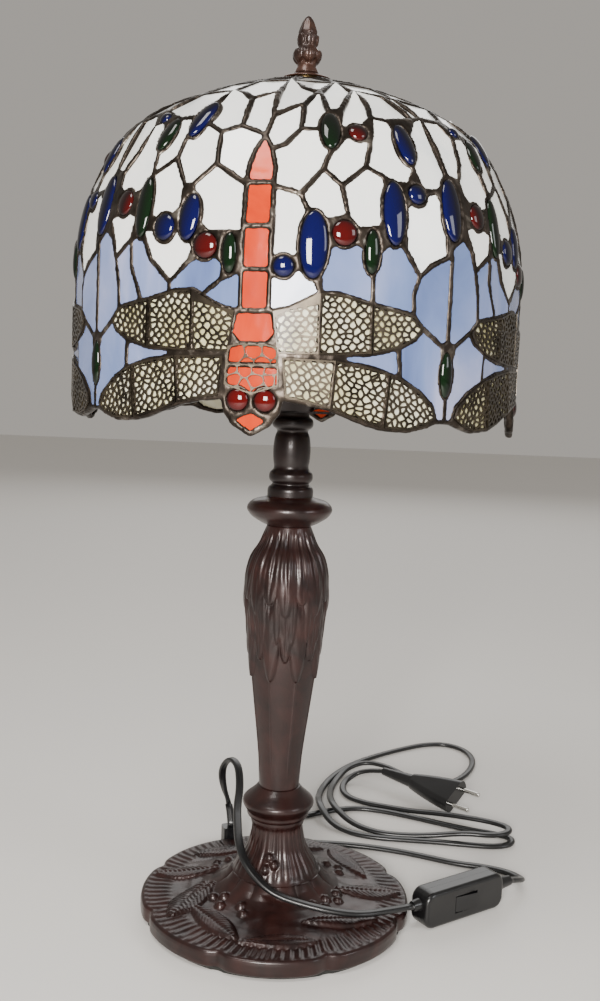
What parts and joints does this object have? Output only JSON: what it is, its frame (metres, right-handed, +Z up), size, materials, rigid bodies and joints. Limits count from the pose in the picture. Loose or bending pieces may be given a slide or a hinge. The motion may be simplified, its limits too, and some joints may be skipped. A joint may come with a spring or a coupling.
{
  "type": "table lamp",
  "caption": "Table lamp with a domed leaded-glass dragonfly shade held by a finial over a harp, on a cast baluster column and round base, with a corded switch and plug.",
  "frame": {"origin": "centre of the base on the table, under the column", "axes": "+Z up the column, -Y the front of the lamp, +X to the right seen from the front"},
  "size_m": [0.3481, 0.5125, 0.613],
  "materials": {
    "bronze_dark": "dark reddish brown patina over cast metal, semi-gloss",
    "bronze_black": "near-black brown patina, semi-gloss",
    "finial_bronze": "brown antique bronze, soft sheen",
    "solder_patina": "lead-free solder beads with dark copper patina, tinned glints",
    "filigree_metal": "pierced filigree, dark brown patina",
    "felt": "felt",
    "steel": "zinc-plated steel",
    "cast_weight": "bare casting",
    "brass": "bright brass",
    "porcelain": "unglazed ceramic",
    "black_gloss": "moulded black",
    "cord_black": "flexible PVC sheath",
    "pin_nickel": "nickel-plated brass",
    "bulb_glass": "frosted bulb",
    "glass_white": "white and grey streaky opalescent glass",
    "glass_lilac": "periwinkle and lilac streaky glass",
    "glass_cream": "cream and pale yellow opalescent glass",
    "glass_red": "orange-red streaky glass",
    "jewel_blue": "cast cabochon",
    "jewel_green": "cast cabochon",
    "jewel_red": "cast cabochon"
  },
  "bodies": {
    "stand": {"base_casting": "bronze_dark", "base_felt": "felt", "base_weight": "cast_weight", "trunk": "bronze_dark", "lower_collar": "bronze_dark", "shaft": "bronze_dark", "disc_collar": "bronze_dark", "neck": "bronze_black", "lamp_rod": "steel", "rod_washer": "steel", "rod_nut_bottom": "steel", "rod_nut_top": "steel", "harp_saddle": "brass", "harp": "brass", "harp_stud": "brass", "socket_cup": "brass", "socket_shell": "bronze_black", "socket_thread": "brass", "socket_contact": "brass", "socket_insulator": "porcelain", "cord_gland": "black_gloss", "cord_lamp_lead": "cord_black", "switch_relief_in": "black_gloss", "switch_cover": "black_gloss", "switch_back": "black_gloss", "switch_terminals": "brass", "switch_screws": "steel", "switch_relief_out": "black_gloss", "cord_plug_lead": "cord_black", "plug_relief": "black_gloss", "plug_body": "black_gloss", "plug_pins": "pin_nickel"},
    "rocker": {"rocker": "black_gloss"},
    "bulb_contact": {"bulb_tip": "brass"},
    "bulb": {"bulb_cap": "brass", "bulb_glass": "bulb_glass"},
    "shade_cap": {"top_cap": "finial_bronze"},
    "shade": {"shade_ring": "brass", "lead_lattice": "solder_patina", "filigree": "filigree_metal", "glass_white": "glass_white", "glass_blue": "glass_lilac", "wing_glass_upper": "glass_cream", "wing_glass_lower": "glass_cream", "body_glass": "glass_red", "dragonfly_eyes": "jewel_red", "jewels_blue": "jewel_blue", "jewels_green": "jewel_green", "jewels_red": "jewel_red"},
    "finial_core": {"finial_insert": "brass"},
    "finial": {"finial": "finial_bronze"}
  },
  "joints": [
    {"name": "rocker_tilt", "type": "hinge", "parent": "stand", "child": "rocker", "pos_m": [0.13483, -0.00379, 0.013], "axis": [0, 0, 1], "range_deg": [0, 14]},
    {"name": "bulb_rise", "type": "slide", "parent": "stand", "child": "bulb_contact", "axis": [0, 0, 1], "range_m": [0, 0.025]},
    {"name": "bulb_turn", "type": "hinge", "parent": "bulb_contact", "child": "bulb", "pos_m": [0, 0, 0.398], "axis": [0, 0, 1], "range_deg": [0, 2480]},
    {"name": "shade_lift", "type": "slide", "parent": "stand", "child": "shade_cap", "axis": [0, 0, 1], "range_m": [0, 0.2]},
    {"name": "shade_turn", "type": "hinge", "parent": "shade_cap", "child": "shade", "pos_m": [0, 0, 0.566], "axis": [0, 0, 1], "continuous": true},
    {"name": "finial_rise", "type": "slide", "parent": "shade_cap", "child": "finial_core", "axis": [0, 0, 1], "range_m": [0, 0.011]},
    {"name": "finial_turn", "type": "hinge", "parent": "finial_core", "child": "finial", "pos_m": [0, 0, 0.58], "axis": [0, 0, 1], "range_deg": [0, 4210]}
  ],
  "couplings": [
    {"joint": "bulb_turn", "follows": "bulb_rise", "rad_per_m": 1731},
    {"joint": "finial_turn", "follows": "finial_rise", "rad_per_m": 6677}
  ]
}
